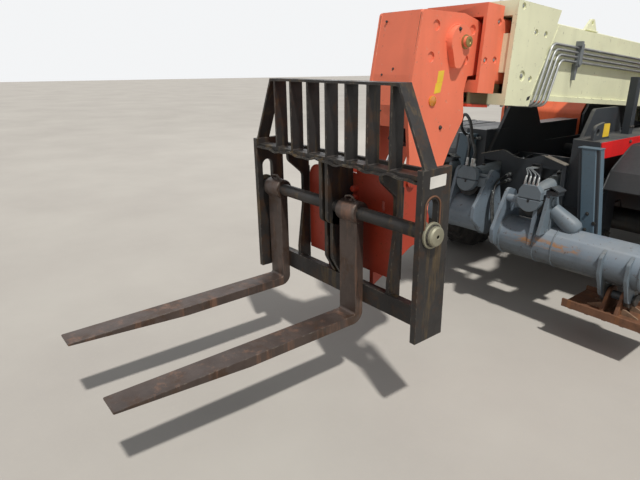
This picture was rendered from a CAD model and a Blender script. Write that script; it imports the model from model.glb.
# Telehandler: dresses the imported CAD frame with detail, materials, floor, light and camera.
# The CAD's frame: the front faces -Y, the machine's left side is +X, up is +Z. Shapes are drawn in millimetres.
import bmesh
import bpy
import math
from mathutils import Matrix, Vector


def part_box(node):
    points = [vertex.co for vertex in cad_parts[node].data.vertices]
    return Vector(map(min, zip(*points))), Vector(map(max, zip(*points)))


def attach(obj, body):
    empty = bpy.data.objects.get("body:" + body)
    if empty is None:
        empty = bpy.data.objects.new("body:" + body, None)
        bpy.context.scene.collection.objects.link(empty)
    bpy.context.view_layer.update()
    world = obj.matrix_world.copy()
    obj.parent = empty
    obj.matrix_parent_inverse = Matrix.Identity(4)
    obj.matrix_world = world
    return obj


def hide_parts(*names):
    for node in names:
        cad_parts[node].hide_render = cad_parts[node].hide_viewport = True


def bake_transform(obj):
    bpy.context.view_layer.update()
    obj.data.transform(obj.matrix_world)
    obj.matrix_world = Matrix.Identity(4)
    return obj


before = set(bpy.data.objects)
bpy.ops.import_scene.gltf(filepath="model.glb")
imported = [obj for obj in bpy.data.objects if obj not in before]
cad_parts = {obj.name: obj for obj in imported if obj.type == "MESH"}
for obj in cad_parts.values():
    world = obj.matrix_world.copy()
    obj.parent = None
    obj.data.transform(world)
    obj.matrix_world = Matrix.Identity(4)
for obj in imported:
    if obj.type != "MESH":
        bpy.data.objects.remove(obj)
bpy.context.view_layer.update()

# Places shared with the CAD, in millimetres.
PIVOT, TOOL_HINGE, LEG_HINGE = (0, 3065, 1395), (0, -2010, 800), (0, -385, 500)
TILT_PIN = (-1748, 1762)
WHEEL_X, WHEEL_RADIUS, RIM_RADIUS = 985, 540, 254
LUG, LUG_COUNT = 28, 20
FRONT_AXLE, REAR_AXLE = 35, 2935
CORNERS = {"front_left": (1, FRONT_AXLE), "front_right": (-1, FRONT_AXLE),
           "rear_left": (1, REAR_AXLE), "rear_right": (-1, REAR_AXLE)}
SIDES = (-1, 1)
UP = (0, 0, 1)
BOX_FACES = [(0, 1, 2, 3), (4, 7, 6, 5), (0, 4, 5, 1), (1, 5, 6, 2), (2, 6, 7, 3), (3, 7, 4, 0)]


def metres(point):
    return Vector([value / 1000 for value in point])


def moved(*point):
    return Matrix.Translation(metres(point))


def turned_about(point, degrees):
    """The turn about X through a point, as the CAD turns its leaning groups."""
    back = Matrix.Translation(-metres(point))
    return moved(*point) @ Matrix.Rotation(math.radians(degrees), 4, "X") @ back


MIRROR = Matrix.Scale(-1, 4, (1, 0, 0))
BOOM = turned_about(PIVOT, -3.85)
TOOL = turned_about(TOOL_HINGE, 1.05)
LEGS = {"left": Matrix.Identity(4), "right": turned_about(LEG_HINGE, -8) @ MIRROR}


def placed(name, data):
    """A new object in the scene."""
    made = bpy.data.objects.new(name, data)
    bpy.context.scene.collection.objects.link(made)
    return made


# Camera. It stands in front of the machine's left side and looks down at the forks.

def add_camera():
    data = bpy.data.cameras.new("camera")
    data.lens, data.sensor_width = 29.36, 36
    camera = placed("camera", data)
    camera.location = (1.975, -4.135, 1.65)
    camera.rotation_euler = Vector((-0.7418, 0.5901, -0.3186)).to_track_quat("-Z", "Y").to_euler()
    bpy.context.scene.camera = camera


add_camera()


# Finishes. A Finish holds a material under construction and the nodes that the finishes share.

class Finish:
    def __init__(self, name, **sockets):
        self.material = bpy.data.materials.new(name)
        self.material.use_nodes = True
        self.tree = self.material.node_tree
        self.shader = self.tree.nodes["Principled BSDF"]
        for socket, value in sockets.items():
            self.shader.inputs[socket.replace("_", " ")].default_value = value
        self.place = self.node("ShaderNodeTexCoord").outputs["Object"]

    def node(self, kind, inputs=None, **settings):
        made = self.tree.nodes.new(kind)
        for key, value in settings.items():
            setattr(made, key, value)
        for key, value in (inputs or {}).items():
            self.link(value, made.inputs[key])
        return made

    def link(self, value, socket):
        if isinstance(value, bpy.types.NodeSocket):
            self.tree.links.new(value, socket)
        else:
            socket.default_value = value

    def set(self, socket, value):
        self.link(value, self.shader.inputs[socket])
        return self

    def noise(self, scale, detail=4, rough=0.6, stretch=(1, 1, 1)):
        place = self.place
        if stretch != (1, 1, 1):
            place = self.node("ShaderNodeMapping", {"Vector": place, "Scale": stretch}).outputs[0]
        return self.node("ShaderNodeTexNoise", {"Vector": place, "Scale": scale, "Detail": detail,
                                                "Roughness": rough}).outputs[0]

    def ramp(self, value, low, high, to_low=0.0, to_high=1.0):
        return self.node("ShaderNodeMapRange", {0: value, 1: low, 2: high, 3: to_low, 4: to_high}).outputs[0]

    def math(self, operation, a, b=0.0):
        return self.node("ShaderNodeMath", {0: a, 1: b}, operation=operation, use_clamp=True).outputs[0]

    def mix(self, amount, a, b):
        a, b = (tuple(c) + (1,) if isinstance(c, (tuple, list)) and len(c) == 3 else c for c in (a, b))
        return self.node("ShaderNodeMix", {0: amount, 6: a, 7: b}, data_type="RGBA").outputs[2]

    def bump(self, height, strength=0.3, distance=0.002):
        bump = self.node("ShaderNodeBump", {"Height": height, "Strength": strength, "Distance": distance})
        self.link(bump.outputs[0], self.shader.inputs["Normal"])
        return self

    def edges(self, radius=0.006):
        """1 where an edge is near, for wear."""
        soft = self.node("ShaderNodeBevel", {"Radius": radius}, samples=4).outputs[0]
        hard = self.node("ShaderNodeNewGeometry").outputs["Normal"]
        dot = self.node("ShaderNodeVectorMath", {0: soft, 1: hard}, operation="DOT_PRODUCT").outputs["Value"]
        return self.ramp(dot, 0.995, 0.80)

    def upward(self):
        """1 where the face looks up, for dust."""
        normal = self.node("ShaderNodeNewGeometry").outputs["Normal"]
        height = self.node("ShaderNodeSeparateXYZ", {0: normal}).outputs["Z"]
        return self.ramp(height, 0.2, 0.9)


def srgb(code):
    """The linear colour of a six-digit hexadecimal code."""
    parts = [int(code[i:i + 2], 16) / 255 for i in (0, 2, 4)]
    return tuple(c / 12.92 if c <= 0.04045 else ((c + 0.055) / 1.055) ** 2.4 for c in parts)


def shade(colour, factor):
    return tuple(min(1, c * factor) for c in colour)


DUST, RUST, DARK_RUST, PRIMER = srgb("A79F90"), srgb("7A4A2C"), srgb("46301F"), srgb("5B5A57")


def paint(name, code, wear=0.4, dust=0.3, rust=0.2, rough=0.45, under=PRIMER, streak=0.3, extra=None):
    """Sprayed paint with uneven tone, dirt in streaks, dust on top, worn edges and chips with rust; extra
    changes the tone last."""
    colour = srgb(code)
    f = Finish(name, Roughness=rough, Specular_IOR_Level=0.45)
    tone = f.mix(f.ramp(f.noise(1.7, 5), 0.3, 0.7), shade(colour, 0.86), shade(colour, 1.08))
    run = f.math("MULTIPLY", f.ramp(f.noise(9, 3, 0.5, (1, 1, 0.08)), 0.52, 0.75), streak)
    tone = f.mix(run, tone, shade(colour, 0.45))
    dusty = f.math("MULTIPLY", f.upward(), f.ramp(f.noise(5, 6), 0.35, 0.7))
    tone = f.mix(f.math("MULTIPLY", dusty, dust), tone, DUST)
    speck = f.ramp(f.noise(38, 3, 0.7), 0.66 - 0.05 * wear, 0.70)
    edge = f.math("MULTIPLY", f.edges(), f.ramp(f.noise(22, 4, 0.7), 0.62 - 0.22 * wear, 0.72 - 0.2 * wear))
    bare = f.math("MAXIMUM", f.math("MULTIPLY", speck, wear), edge)
    patch = f.math("MULTIPLY", f.ramp(f.noise(3.1, 8, 0.72), 0.60, 0.66), rust)
    tone = f.mix(patch, tone, RUST)
    tone = extra(f, tone) if extra else tone
    metal = f.mix(f.ramp(f.noise(60), 0.4, 0.6), under, DARK_RUST)
    f.set("Base Color", f.mix(bare, tone, metal))
    f.set("Roughness", f.ramp(f.math("MAXIMUM", bare, patch), 0, 1, rough, 0.8))
    return f.bump(f.math("SUBTRACT", f.math("MULTIPLY", f.noise(120, 2), 0.25), bare), 0.25, 0.0012).material


def rubbed_tube(f, tone):
    """A rusty line rubbed along the front of the stabilizer's tube, and dirt below it."""
    at = f.node("ShaderNodeSeparateXYZ", {0: f.place}).outputs
    height = f.math("ADD", at["Z"], f.ramp(f.noise(2.0, 3), 0.3, 0.7, 0, 0.02))
    line = f.math("MULTIPLY", f.ramp(height, 0.558, 0.582), f.ramp(height, 0.628, 0.600))
    line = f.math("MULTIPLY", line, f.math("MULTIPLY", f.ramp(at["X"], 0.14, 0.24), f.ramp(at["X"], 0.74, 0.62)))
    line = f.math("MULTIPLY", line, f.ramp(f.noise(16, 6, 0.75, (0.6, 1, 2.2)), 0.47, 0.56))
    tone = f.mix(line, tone, srgb("94704F"))
    low = f.math("MULTIPLY", f.ramp(at["Z"], 0.590, 0.440), f.ramp(f.noise(7, 6, 0.7), 0.3, 0.6, 0.55, 0.95))
    return f.mix(low, tone, srgb("34342F"))


def worn_steel(name, code, rust=0.4, bright=0.2, rough=0.55, metallic=0.4, streaks="6A5130"):
    """Blackened or bare steel with rust blooms, brown streaks and rubbed edges."""
    colour = srgb(code)
    f = Finish(name, Metallic=metallic)
    tone = f.mix(f.ramp(f.noise(4, 8, 0.7), 0.35, 0.65), shade(colour, 0.75), shade(colour, 1.35))
    bloom = f.math("MULTIPLY", f.ramp(f.noise(6, 9, 0.75), 0.52, 0.62), rust)
    run = f.math("MULTIPLY", f.ramp(f.noise(14, 6, 0.7, (1, 1, 0.12)), 0.54, 0.68), rust)
    tone = f.mix(bloom, tone, DARK_RUST)
    tone = f.mix(run, tone, srgb(streaks))
    rubbed = f.math("MULTIPLY", f.edges(0.008), f.ramp(f.noise(30, 5, 0.7), 0.5, 0.6))
    tone = f.mix(f.math("MULTIPLY", rubbed, bright), tone, srgb("8D877C"))
    f.set("Base Color", tone)
    f.set("Roughness", f.ramp(f.noise(9, 6), 0.3, 0.7, rough - 0.12, rough + 0.2))
    return f.bump(f.noise(70, 8, 0.7), 0.35, 0.0015).material


def plain(name, code, rough=0.5, metallic=0.0, grain=90, depth=0.15, spread=0.12, coat=0.0):
    """A moulded, cast or plated surface with a fine grain and a slight variation in tone."""
    colour = srgb(code)
    f = Finish(name, Metallic=metallic, Coat_Weight=coat)
    f.set("Base Color", f.mix(f.ramp(f.noise(7, 6), 0.3, 0.7), shade(colour, 1 - spread), shade(colour, 1 + spread)))
    f.set("Roughness", f.ramp(f.noise(25, 5), 0.3, 0.7, rough * 0.85, min(1, rough * 1.2)))
    return f.bump(f.noise(grain, 4), depth, 0.001).material


def rubber(name, code="2A2B2C", dusty=0.5):
    colour = srgb(code)
    f = Finish(name, Roughness=0.82, Specular_IOR_Level=0.3)
    grey = f.math("MULTIPLY", f.ramp(f.noise(11, 8, 0.7), 0.35, 0.7), dusty)
    f.set("Base Color", f.mix(grey, colour, srgb("75706A")))
    return f.bump(f.noise(160, 5), 0.3, 0.0012).material


def clear_glass(name):
    f = Finish(name, Base_Color=(0.72, 0.80, 0.79, 1), Roughness=0.03, Transmission_Weight=1.0, IOR=1.35, Alpha=0.55)
    f.set("Roughness", f.ramp(f.noise(6, 5), 0.45, 0.8, 0.02, 0.06))
    return f.material


def lens(name, code):
    f = Finish(name, Roughness=0.12, Coat_Weight=0.6, Specular_IOR_Level=0.6)
    ribs = f.node("ShaderNodeTexWave", {"Vector": f.place, "Scale": 60.0}, wave_type="BANDS").outputs[1]
    f.set("Base Color", f.mix(ribs, shade(srgb(code), 0.75), srgb(code)))
    return f.bump(ribs, 0.4, 0.001).material


def fabric(name, code):
    """Woven seat cloth: two crossed bands of threads with lint."""
    colour = srgb(code)
    f = Finish(name, Roughness=0.92, Sheen_Weight=0.3)
    threads = [f.node("ShaderNodeTexWave", {"Vector": f.place, "Scale": 220.0, "Distortion": 1.0},
                      wave_type="BANDS", bands_direction=way).outputs[1] for way in ("X", "Z")]
    weave = f.math("MULTIPLY", *threads)
    f.set("Base Color", f.mix(f.math("MULTIPLY", weave, 0.7), shade(colour, 0.6), shade(colour, 1.3)))
    return f.bump(weave, 0.5, 0.001).material


M = {
    "cream": paint("cream_paint", "E5E6C4", wear=0.35, dust=0.2, rust=0.05, rough=0.4, streak=0.2),
    "orange": paint("orange_paint", "EE7D5E", wear=0.35, dust=0.15, rust=0.05, rough=0.5, streak=0.15,
                    under=srgb("D9C7B4")),
    "red": paint("red_paint", "C8452F", wear=0.3, dust=0.15, rust=0.1),
    "coupler": paint("coupler_paint", "A83C28", wear=0.6, dust=0.2, rust=0.4, under=DARK_RUST),
    "chassis": paint("chassis_paint", "32373C", wear=0.4, dust=0.3, rust=0.12, rough=0.5, streak=0.15),
    "grey": paint("stabilizer_paint", "68747D", wear=0.6, dust=0.25, rust=0.22, rough=0.5, under=DARK_RUST),
    "leg": paint("worn_stabilizer_paint", "707D89", wear=0.7, dust=0.25, rust=0.3, rough=0.5, under=DARK_RUST,
                 extra=rubbed_tube),
    "post": paint("post_paint", "5A6E7C", wear=0.6, dust=0.2, rust=0.15, rough=0.5),
    "signal_red": paint("signal_red_paint", "DE0C0E", wear=0.25, dust=0.1, rust=0.05),
    "cab": paint("cab_paint", "C9542F", wear=0.2, dust=0.15, rust=0.03, rough=0.35),
    "hood": paint("hood_paint", "E2683F", wear=0.25, dust=0.15, rust=0.03, rough=0.38),
    "fender": plain("fender_plastic", "26282A", rough=0.6, grain=260, depth=0.25),
    "weight": paint("weight_paint", "3A3E42", wear=0.3, dust=0.3, rust=0.1, rough=0.55),
    "rim": paint("rim_paint", "D8D6BE", wear=0.4, dust=0.3, rust=0.2),
    "carriage": worn_steel("blackened_steel", "2C2A29", rust=0.7, bright=0.6, rough=0.5, metallic=0.3,
                           streaks="6E5A38"),
    "fork": worn_steel("fork_steel", "4B403B", rust=0.75, bright=0.7, rough=0.42, metallic=0.35,
                       streaks="80604E"),
    "rusty": worn_steel("rusty_steel", "6B4A36", rust=0.7, bright=0.15, rough=0.7, metallic=0.15,
                        streaks="8A5A34"),
    "iron": worn_steel("dark_iron", "3A3A39", rust=0.2, bright=0.3, rough=0.5),
    "chrome": plain("hard_chrome", "C9CBCC", rough=0.14, metallic=1.0, depth=0.03, spread=0.05),
    "zinc": plain("zinc_plate", "A9ABAA", rough=0.35, metallic=0.9, spread=0.15),
    "old_zinc": plain("old_zinc", "8F8C79", rough=0.5, metallic=0.45, grain=60, spread=0.25),
    "brass": plain("dull_brass", "A08A58", rough=0.4, metallic=0.9, spread=0.2),
    "tyre": rubber("tyre_rubber"),
    "hose": plain("hose_rubber", "1E1F20", rough=0.55, grain=400, depth=0.2),
    "seal": plain("seal_rubber", "1B1C1D", rough=0.7, grain=200),
    "plastic": plain("black_plastic", "232426", rough=0.5, grain=300, depth=0.25),
    "grey_plastic": plain("grey_plastic", "6E7376", rough=0.5, grain=300, depth=0.2),
    "glass": clear_glass("cab_glazing"),
    "mirror": plain("mirror_glass", "D5DADD", rough=0.04, metallic=1.0, depth=0.0, spread=0.03),
    "lamp": lens("lamp_lens", "E8E6DC"),
    "amber": lens("amber_lens", "E8901E"),
    "tail": lens("red_lens", "B01A14"),
    "cloth": fabric("seat_cloth", "3B3E42"),
    "yellow_plate": plain("yellow_plate", "E8C22C", rough=0.4, coat=0.3, depth=0.02),
    "white_plate": plain("white_plate", "D8D6D0", rough=0.45, coat=0.2, depth=0.02),
    "engine": plain("cast_engine", "4A4E50", rough=0.6, metallic=0.4, grain=50, depth=0.4),
    "weld": worn_steel("weld_bead", "4A4542", rust=0.4, bright=0.2),
    "olive": paint("olive_paint", "5E5236", wear=0.7, dust=0.3, rust=0.3),
    "pale_rust": worn_steel("pale_rust", "8C7560", rust=0.5, bright=0.2, rough=0.7, metallic=0.1,
                            streaks="9A6A40"),
    "rubbed": worn_steel("rubbed_steel", "9A948A", rust=0.3, bright=0.4, rough=0.45, metallic=0.5),
}

# The finish, the rounding in millimetres and the CAD nodes that share them.
NODE_FINISH = [
    ("chassis", 4, "frame_left frame_right frame_cross engine_bay"), ("chassis", 6, "tank"),
    ("chassis", 3, "lift_barrel tilt_barrel"), ("iron", 8, "axle_front axle_rear"), ("cab", 10, "cab_shell"),
    ("cab", 5, "cab_door"), ("glass", 0, "cab_glass door_glass"), ("cloth", 20, "seat"), ("hood", 3, "engine_hood"),
    ("plastic", 6, "controls lamps mirrors"), ("engine", 12, "engine_block"), ("fender", 3, "fenders"),
    ("weight", 14, "counterweight"), ("cream", 4, "boom_base"), ("orange", 3, "boom_mid boom_inner"),
    ("orange", 4, "boom_head"), ("coupler", 3, "coupler"), ("carriage", 2.5, "carriage"),
    ("fork", 4, "fork_left fork_right"), ("chrome", 2, "lift_rod tilt_rod"),
]
for corner in CORNERS:
    NODE_FINISH += [("tyre", 0, f"tyre_{corner}"), ("rim", 2, f"rim_{corner}"), ("iron", 5, f"knuckle_{corner}")]
for side in LEGS:
    NODE_FINISH += [("leg", 4, f"stabilizer_leg_{side}"), ("rusty", 3, f"stabilizer_foot_{side}"),
                    ("grey", 2, f"stabilizer_barrel_{side}"), ("chrome", 1, f"stabilizer_rod_{side}")]


def round_edges(thing, width):
    """Joins doubled points and rounds the sharp edges by a width in millimetres, with modifiers only."""
    weld = thing.modifiers.new("weld", "WELD")
    weld.merge_threshold = 0.00002
    bevel = thing.modifiers.new("bevel", "BEVEL")
    bevel.width, bevel.segments, bevel.limit_method = width / 1000, 2, "ANGLE"
    bevel.angle_limit = math.radians(32)
    bevel.use_clamp_overlap = True
    bevel.harden_normals = True


for finish, width, names in NODE_FINISH:
    for name in names.split():
        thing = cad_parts[name]
        thing.data.materials.clear()
        thing.data.materials.append(M[finish])
        if width:
            round_edges(thing, width)


# Points. A row of plain numbers is read as points of two or three numbers each.

def grouped(values, size):
    if not isinstance(values[0], (int, float)):
        return values
    return [values[i:i + size] for i in range(0, len(values), size)]


def walk(points, pitch):
    """Points evenly along straight runs."""
    points, path = grouped(points, 3), []
    for a, b in zip(points, points[1:]):
        a, b = Vector(a), Vector(b)
        count = max(1, int((b - a).length / pitch + 0.5))
        path += [a.lerp(b, n / count) for n in range(count)]
    return path + [Vector(points[-1])]


def loop(points, pitch):
    """Points evenly along a closed outline."""
    points = grouped(points, 3)
    return walk([*points, points[0]], pitch)[:-1]


def around(radius, count, start=0, sweep=360, middle=(0, 0)):
    """Points on an arc; a full circle leaves out the last one."""
    last = count if sweep == 360 else count - 1
    turns = [math.radians(start + sweep * n / last) for n in range(count)]
    return [(middle[0] + radius * math.cos(a), middle[1] + radius * math.sin(a)) for a in turns]


def corner_arc(before, here, after, radius, steps):
    """The curve that rounds one corner, within half of each side."""
    one, two = before - here, after - here
    start, end = (here + way.normalized() * min(radius, one.length * 0.49, two.length * 0.49) for way in (one, two))
    return [start.lerp(here, n / steps).lerp(here.lerp(end, n / steps), n / steps) for n in range(steps + 1)]


def rounded(outline, radii):
    """An outline with round corners; radii is one radius or one for each point."""
    outline = [Vector(p) for p in grouped(outline, 2)]
    radii = radii if isinstance(radii, (list, tuple)) else [radii] * len(outline)
    points = []
    for i, (here, radius) in enumerate(zip(outline, radii)):
        before, after = outline[i - 1], outline[(i + 1) % len(outline)]
        if radius:
            reach = radius / math.tan((before - here).angle(after - here) / 2)
            points += corner_arc(before, here, after, reach, 5)
        else:
            points.append(here)
    return [tuple(p) for p in points]


def pane(left, low, right, high, radii):
    """A rectangle with round corners."""
    return rounded((left, low, right, low, right, high, left, high), radii)


def bent(points, radius):
    """A rigid pipe's path with its corners rounded."""
    points = [Vector(p) for p in grouped(points, 3)]
    path = [points[0]]
    for before, here, after in zip(points, points[1:], points[2:]):
        path += corner_arc(before, here, after, radius, 6)
    return path + [points[-1]]


# Shapes. A Shape gathers solids in one mesh, in the row frame or through a matrix, and becomes one piece.

class Shape:
    def __init__(self, matrix=None):
        self.mesh = bmesh.new()
        self.matrix = matrix or Matrix.Identity(4)

    def add(self, points, faces):
        made = [self.mesh.verts.new(self.matrix @ metres(p)) for p in points]
        for face in faces:
            self.mesh.faces.new([made[i] for i in face])
        return self

    def block(self, x, y, z):
        points = [(a, b, c) for a in x for b in y for c in z]
        return self.add(points, [(0, 1, 3, 2), (4, 6, 7, 5), (0, 4, 5, 1), (2, 3, 7, 6), (0, 2, 6, 4), (1, 5, 7, 3)])

    def loft(self, low, high):
        """Two rings of points joined by sides and closed at both ends."""
        n = len(low)
        sides = [(i, (i + 1) % n, (i + 1) % n + n, i + n) for i in range(n)]
        return self.add([*low, *high], [tuple(range(n))[::-1], tuple(range(n, 2 * n))] + sides)

    def prism(self, axis, outline, low, high):
        """An outline extruded along an axis. It names the other two axes' places in their own order."""
        def at(pair, along):
            return {"X": (along, *pair), "Y": (pair[0], along, pair[1]), "Z": (*pair, along)}[axis]
        outline = grouped(outline, 2)
        return self.loft([at(p, low) for p in outline], [at(p, high) for p in outline])

    def lathe(self, at, along, profile, steps=24):
        """Turns (distance along, radius) pairs about the line through a point. A profile that closes makes a ring."""
        profile = grouped(profile, 2)
        turn = Vector(along).to_track_quat("Z", "Y").to_matrix()
        at, rings, points = Vector(at), [], []
        for distance, radius in profile:
            ring = []
            for step in range(steps if radius > 1e-3 else 1):
                a = 2 * math.pi * step / steps
                ring.append(len(points))
                points.append(at + turn @ Vector((radius * math.cos(a), radius * math.sin(a), distance)))
            rings.append(ring)
        faces = []
        for one, two in zip(rings, rings[1:]):
            for i in range(steps):
                j = (i + 1) % steps
                corners = [one[i % len(one)], one[j % len(one)], two[j % len(two)], two[i % len(two)]]
                corners = list(dict.fromkeys(corners))
                if len(corners) > 2:
                    faces.append(corners)
        for ring, flip in ((rings[0], True), (rings[-1], False)):
            if len(ring) > 2 and profile[0] != profile[-1]:
                faces.append(ring[::-1] if flip else ring)
        return self.add(points, faces)

    def bolt(self, at, along, size=8):
        """A washer and a hexagon head; size is half the width across its flats."""
        self.lathe(at, along, (-2, size * 1.5, size * 0.22, size * 1.5, size * 0.25, size * 1.4), 18)
        return self.lathe(at, along, (0, size * 1.12, size * 0.95, size * 1.12, size * 1.15, size * 0.95), 6)

    def tube(self, path, radius, steps=12, closed=False):
        """A round bar along points, with flat ends; radius is one number or one for each point."""
        path = [Vector(p) for p in grouped(path, 3)]
        radii = radius if isinstance(radius, list) else [radius] * len(path)
        n, rings, points = len(path), [], []
        normal = None
        for i, p in enumerate(path):
            ahead = path[(i + 1) % n] if closed or i + 1 < n else p
            behind = path[i - 1] if closed or i > 0 else p
            along = (ahead - behind).normalized()
            if normal is None:
                normal = along.orthogonal().normalized()
            normal = (normal - along * normal.dot(along)).normalized()
            side = along.cross(normal)
            rings.append(range(len(points), len(points) + steps))
            for s in range(steps):
                a = 2 * math.pi * s / steps
                points.append(p + radii[i] * (normal * math.cos(a) + side * math.sin(a)))
        faces = []
        for one, two in list(zip(rings, rings[1:])) + ([(rings[-1], rings[0])] if closed else []):
            faces += [(one[s], one[(s + 1) % steps], two[(s + 1) % steps], two[s]) for s in range(steps)]
        if not closed:
            faces += [tuple(rings[0])[::-1], tuple(rings[-1])]
        return self.add(points, faces)

    def bead(self, points, radius):
        """A rippled weld along straight runs."""
        path = walk(points, 5.5)
        return self.tube(path, [radius * (1.0 if n % 2 else 0.72) for n in range(len(path))], 6)

    def ring(self, points, radius):
        """A closed round seal through corner points."""
        return self.tube(loop(points, 30), radius, 8, closed=True)

    def beads(self, side, rows):
        """Welds from rows of a radius and its path, on one side of the machine."""
        for radius, *path in rows:
            self.bead([(side * x, y, z) for x, y, z in grouped(path, 3)], radius)
        return self

    def object(self, name, finish):
        """The shape as a smooth mesh object with one finish."""
        bmesh.ops.recalc_face_normals(self.mesh, faces=self.mesh.faces)
        mesh = bpy.data.meshes.new(name)
        self.mesh.to_mesh(mesh)
        self.mesh.free()
        mesh.shade_smooth()
        mesh.set_sharp_from_angle(angle=math.radians(35))
        mesh.materials.append(M[finish])
        return placed(name, mesh)

    def piece(self, name, bodies, finish, slot, bevel=0.0, stands_for=(), ends=None):
        """The shape as a piece that rides on a body, or blends from one body to the next between two points."""
        made = self.object(name, finish)
        if bevel:
            round_edges(made, bevel)
        if ends and bodies[0] != bodies[1]:
            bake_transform(made)
        else:
            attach(made, bodies[0] if ends else bodies)
        if stands_for:
            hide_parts(*stands_for)
        return made


# Tyres and wheels.

def tyre_shape(side, y):
    """A carcass with bare sidewalls and two rows of angled lugs that meet in the middle."""
    shape = Shape(moved(side * WHEEL_X, y, WHEEL_RADIUS))
    tread, foot = WHEEL_RADIUS - LUG, RIM_RADIUS + 0.5
    profile = [(152, foot), (152, foot + 24), (168, foot + 40), (178, foot + 46), (196, foot + 100),
               (198.5, foot + 122), (202.5, foot + 128), (202.5, foot + 150), (197.5, foot + 156),
               (193, tread - 35), (182, tread - 12), (160, tread - 2), (80, tread)]
    profile = [(-u, v) for u, v in profile] + profile[::-1]
    shape.lathe((0, 0, 0), (1, 0, 0), profile + [profile[0]], 72)
    # A lug's sections: place across the tyre, turn, width, and its top's and foot's depth.
    sections = [(12, 0.0, 30, 0, 10), (70, 0.16, 32, 0, 10), (130, 0.34, 36, 0, 10), (180, 0.50, 44, 6, 30),
                (203.5, 0.56, 50, 30, 85)]
    last = 4 * len(sections)
    faces = [(i + j, i + (j + 1) % 4, i + 4 + (j + 1) % 4, i + 4 + j) for i in range(0, last - 4, 4) for j in range(4)]
    for half in SIDES:
        for n in range(LUG_COUNT):
            start, points = 2 * math.pi * (n + (0.5 if half > 0 else 0)) / LUG_COUNT, []
            for x, turn, wide, top, low in sections:
                for radius, reach in ((tread - low, 0.62), (WHEEL_RADIUS - top, 0.44), (WHEEL_RADIUS - top, -0.44),
                                      (tread - low, -0.62)):
                    a = start - turn * 0.62 + wide * reach / WHEEL_RADIUS
                    points.append((half * x, radius * math.sin(a), radius * math.cos(a)))
            shape.add(points, faces + [(0, 1, 2, 3), tuple(range(last - 1, last - 5, -1))])
    return shape


for corner, (side, y) in CORNERS.items():
    tyre_shape(side, y).piece(f"tyre_tread_{corner}", f"wheel_{corner}", "tyre", "tyre", 4,
                              stands_for=[f"tyre_{corner}"])
    nuts = Shape(moved(side * WHEEL_X, y, WHEEL_RADIUS))
    for n in range(10):
        a = 2 * math.pi * n / 10
        nuts.bolt((side * 7, 165 * math.sin(a), 165 * math.cos(a)), (side, 0, 0), 14)
        nuts.bolt((side * 60, 105 * math.sin(a + 0.3), 105 * math.cos(a + 0.3)), (side, 0, 0), 8)
    nuts.lathe((side * 100, 0, 0), (side, 0, 0), (-2, 60, 8, 58, 12, 40, 12, 0), 28)
    nuts.piece(f"wheel_nuts_{corner}", f"wheel_{corner}", "iron", "rim")


# Boom, in the level position that the CAD draws it in.

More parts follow.
